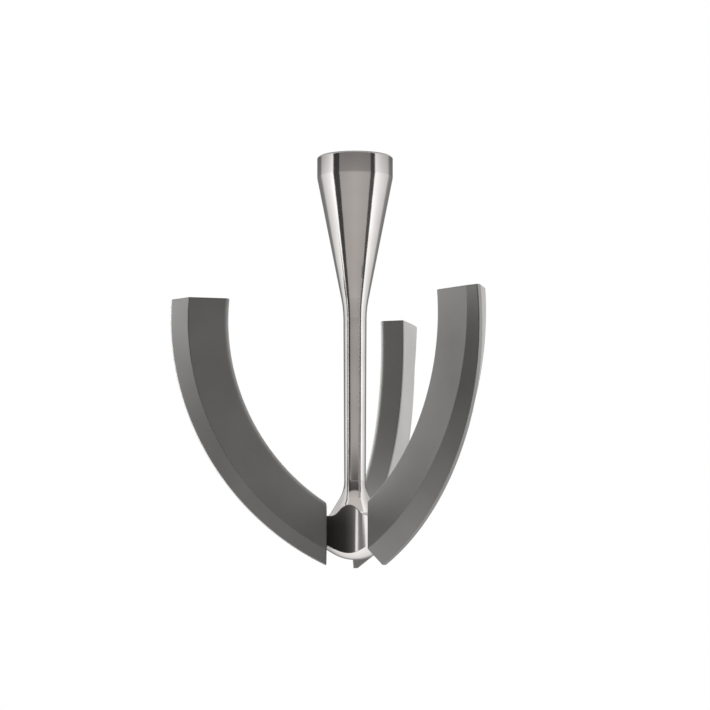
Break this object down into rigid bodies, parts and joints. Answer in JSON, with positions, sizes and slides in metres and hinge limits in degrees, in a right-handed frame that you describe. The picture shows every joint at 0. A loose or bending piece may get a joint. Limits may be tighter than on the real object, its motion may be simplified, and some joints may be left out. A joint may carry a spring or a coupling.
{
  "type": "stand mixer flex edge beater",
  "caption": "Planetary stand mixer beater: round drive cup, slim flaring stem and three curved arms under soft grey scraping blades with a tapering lip.",
  "frame": {"origin": "centre of the drive cup's rim, at the mouth of its socket", "axes": "+Z along the stem, up into the mixer; -Y looks in between two blades, 17 degrees off the middle"},
  "size_m": [0.1329, 0.1366, 0.1765],
  "materials": {
    "polished_metal": "polished casting",
    "flex_rubber": "satin moulded silicone"
  },
  "bodies": {
    "root": {"beater_body": "polished_metal", "flex_blade_1": "flex_rubber", "flex_blade_2": "flex_rubber", "flex_blade_3": "flex_rubber"}
  },
  "joints": []
}
